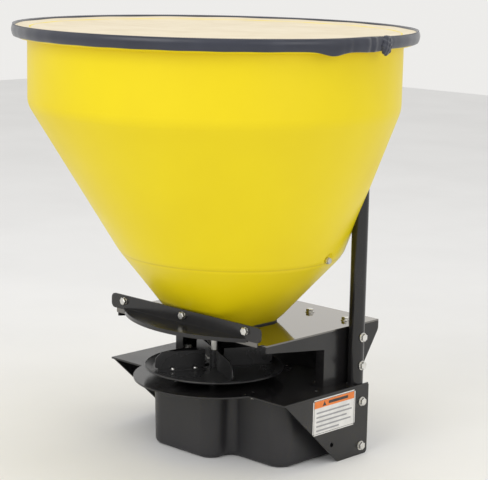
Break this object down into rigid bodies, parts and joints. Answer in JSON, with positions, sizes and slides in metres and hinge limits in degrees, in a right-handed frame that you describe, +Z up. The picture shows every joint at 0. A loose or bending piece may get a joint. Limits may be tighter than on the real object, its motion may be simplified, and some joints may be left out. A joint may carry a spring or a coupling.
{
  "type": "electric hopper spreader",
  "caption": "Round hopper with a fabric cover over a motor-driven spinner, on a black sheet-steel frame that bolts to a vehicle.",
  "frame": {"origin": "on the ground under the middle of the hopper's mouth", "axes": "+Z up, +Y towards the vehicle it bolts to, -Y where the material is thrown, +X the side with the label"},
  "size_m": [0.7099, 0.71, 0.766],
  "materials": {
    "hopper_yellow": "satin moulded polyethylene",
    "cover_cloth": "coated cream cloth",
    "hem_elastic": "dark elastic binding with a slight shine",
    "black_enamel": "gloss black enamel on sheet steel",
    "zinc": "bright zinc plate",
    "stainless": "brushed stainless steel",
    "enclosure_plastic": "textured charcoal moulding",
    "black_plastic": "moulded black plastic",
    "liner_plastic": "natural moulded plastic",
    "rubber": "matt rubber",
    "foam": "closed-cell foam",
    "spinner_black": "powder-coated sheet",
    "gear_steel": "oiled steel",
    "cast_case": "die-cast aluminium",
    "motor_paint": "painted drum",
    "label": "laminated vinyl"
  },
  "bodies": {
    "frame": {"hopper": "hopper_yellow", "hopper_gasket": "foam", "hopper_bolts": "zinc", "hopper_nuts": "zinc", "throat_liner": "liner_plastic", "baffle": "stainless", "baffle_rod": "stainless", "baffle_nuts": "zinc", "deck": "black_enamel", "near_deck_side": "black_enamel", "far_deck_side": "black_enamel", "back_panel": "black_enamel", "deck_bolts": "zinc", "deck_nuts": "zinc", "deflector": "black_enamel", "deflector_bolts": "zinc", "deflector_nuts": "zinc", "shelf": "black_enamel", "near_side_plate": "black_enamel", "far_side_plate": "black_enamel", "shelf_bolts": "zinc", "rear_plate": "black_enamel", "safety_label": "label", "near_upright": "black_enamel", "far_upright": "black_enamel", "tube_plugs": "black_plastic", "frame_bolts": "zinc", "frame_nuts": "zinc", "shaft_seal": "rubber", "idler_pin": "gear_steel", "motor_can": "motor_paint", "motor_end_cap": "cast_case", "gearbox_case": "cast_case", "gearbox_cover": "cast_case", "upper_bearing": "gear_steel", "lower_bearing": "gear_steel", "drive_enclosure": "enclosure_plastic", "enclosure_gasket": "foam", "enclosure_screws": "zinc", "cable_gland": "black_plastic"},
    "spinner": {"drive_shaft": "stainless", "agitator": "stainless", "spinner_dish": "spinner_black", "spinner_fins": "spinner_black", "spinner_rivets": "zinc", "spinner_hub": "spinner_black", "hub_pin": "zinc", "output_gear": "gear_steel"},
    "idler": {"idler_gear": "gear_steel"},
    "rotor": {"motor_pinion": "gear_steel", "motor_rotor": "gear_steel"},
    "cover": {"cover": "cover_cloth", "cover_hem": "hem_elastic", "cover_tie": "hem_elastic"}
  },
  "joints": [
    {"name": "spinner_spin", "type": "hinge", "parent": "frame", "child": "spinner", "pos_m": [0, 0.01, 0.14], "axis": [0, 0, 1], "continuous": true},
    {"name": "idler_spin", "type": "hinge", "parent": "frame", "child": "idler", "pos_m": [0.05797, 0.06219, 0.104], "axis": [0, 0, 1], "continuous": true},
    {"name": "motor_spin", "type": "hinge", "parent": "frame", "child": "rotor", "pos_m": [0.0981, 0.09832, 0.06], "axis": [0, 0, 1], "continuous": true},
    {"name": "cover_lift", "type": "slide", "parent": "frame", "child": "cover", "axis": [0, 0, 1], "range_m": [0, 0.3]}
  ],
  "couplings": [
    {"joint": "idler_spin", "follows": "spinner_spin", "ratio": -0.95},
    {"joint": "motor_spin", "follows": "spinner_spin", "ratio": 2.7143}
  ]
}
